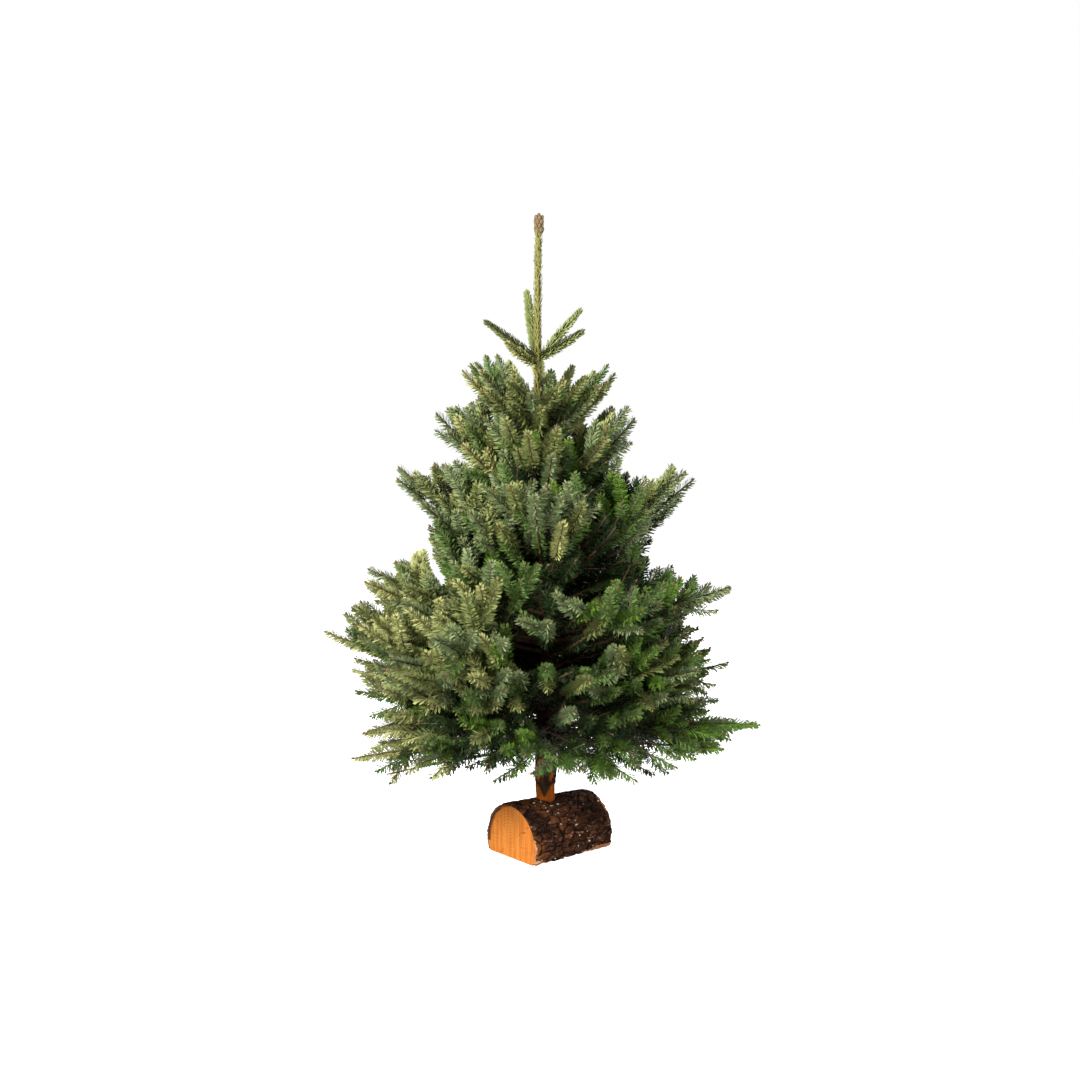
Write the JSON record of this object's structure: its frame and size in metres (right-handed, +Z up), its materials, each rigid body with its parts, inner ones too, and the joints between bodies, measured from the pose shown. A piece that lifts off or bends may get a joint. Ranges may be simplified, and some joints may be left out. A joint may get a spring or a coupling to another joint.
{
  "type": "christmas tree",
  "caption": "Small cut fir with tiers of upswept boughs, its bare foot driven into a half-log stand with the bark on.",
  "frame": {"origin": "middle of the flat underside of the half-log, at floor level", "axes": "+Z up, along the trunk; +X along the log, from its thick end to its thin end"},
  "size_m": [0.7824, 0.7391, 1.25],
  "materials": {
    "log_wood": "sawn, raw",
    "log_bark": "rough flaking bark",
    "trunk_bark": "thin bark, shaved at the foot",
    "needles": "green needles on brown twigs"
  },
  "bodies": {
    "root": {"leader_needles": "needles", "log_bark": "log_bark", "log_core": "log_wood", "trunk": "trunk_bark", "whorl1_foliage_1": "needles", "whorl1_foliage_2": "needles", "whorl1_foliage_3": "needles", "whorl1_foliage_4": "needles", "whorl2_foliage_1": "needles", "whorl2_foliage_2": "needles", "whorl2_foliage_3": "needles", "whorl2_foliage_4": "needles", "whorl2_foliage_5": "needles", "whorl3_foliage_1": "needles", "whorl3_foliage_2": "needles", "whorl3_foliage_3": "needles", "whorl3_foliage_4": "needles", "whorl3_foliage_5": "needles", "whorl4_bough_1": "trunk_bark", "whorl4_bough_2": "trunk_bark", "whorl4_bough_3": "trunk_bark", "whorl4_bough_4": "trunk_bark", "whorl4_bough_5": "trunk_bark", "whorl4_foliage_1": "needles", "whorl4_foliage_2": "needles", "whorl4_foliage_3": "needles", "whorl4_foliage_4": "needles", "whorl4_foliage_5": "needles", "whorl5_bough_1": "trunk_bark", "whorl5_bough_2": "trunk_bark", "whorl5_bough_3": "trunk_bark", "whorl5_bough_4": "trunk_bark", "whorl5_bough_5": "trunk_bark", "whorl5_foliage_1": "needles", "whorl5_foliage_2": "needles", "whorl5_foliage_3": "needles", "whorl5_foliage_4": "needles", "whorl5_foliage_5": "needles", "whorl6_bough_1": "trunk_bark", "whorl6_bough_2": "trunk_bark", "whorl6_bough_3": "trunk_bark", "whorl6_bough_4": "trunk_bark", "whorl6_bough_5": "trunk_bark", "whorl6_bough_6": "trunk_bark", "whorl6_foliage_1": "needles", "whorl6_foliage_2": "needles", "whorl6_foliage_3": "needles", "whorl6_foliage_4": "needles", "whorl6_foliage_5": "needles", "whorl6_foliage_6": "needles", "whorl7_bough_1": "trunk_bark", "whorl7_bough_2": "trunk_bark", "whorl7_bough_3": "trunk_bark", "whorl7_bough_4": "trunk_bark", "whorl7_bough_5": "trunk_bark", "whorl7_foliage_1": "needles", "whorl7_foliage_2": "needles", "whorl7_foliage_3": "needles", "whorl7_foliage_4": "needles", "whorl7_foliage_5": "needles"}
  },
  "joints": []
}
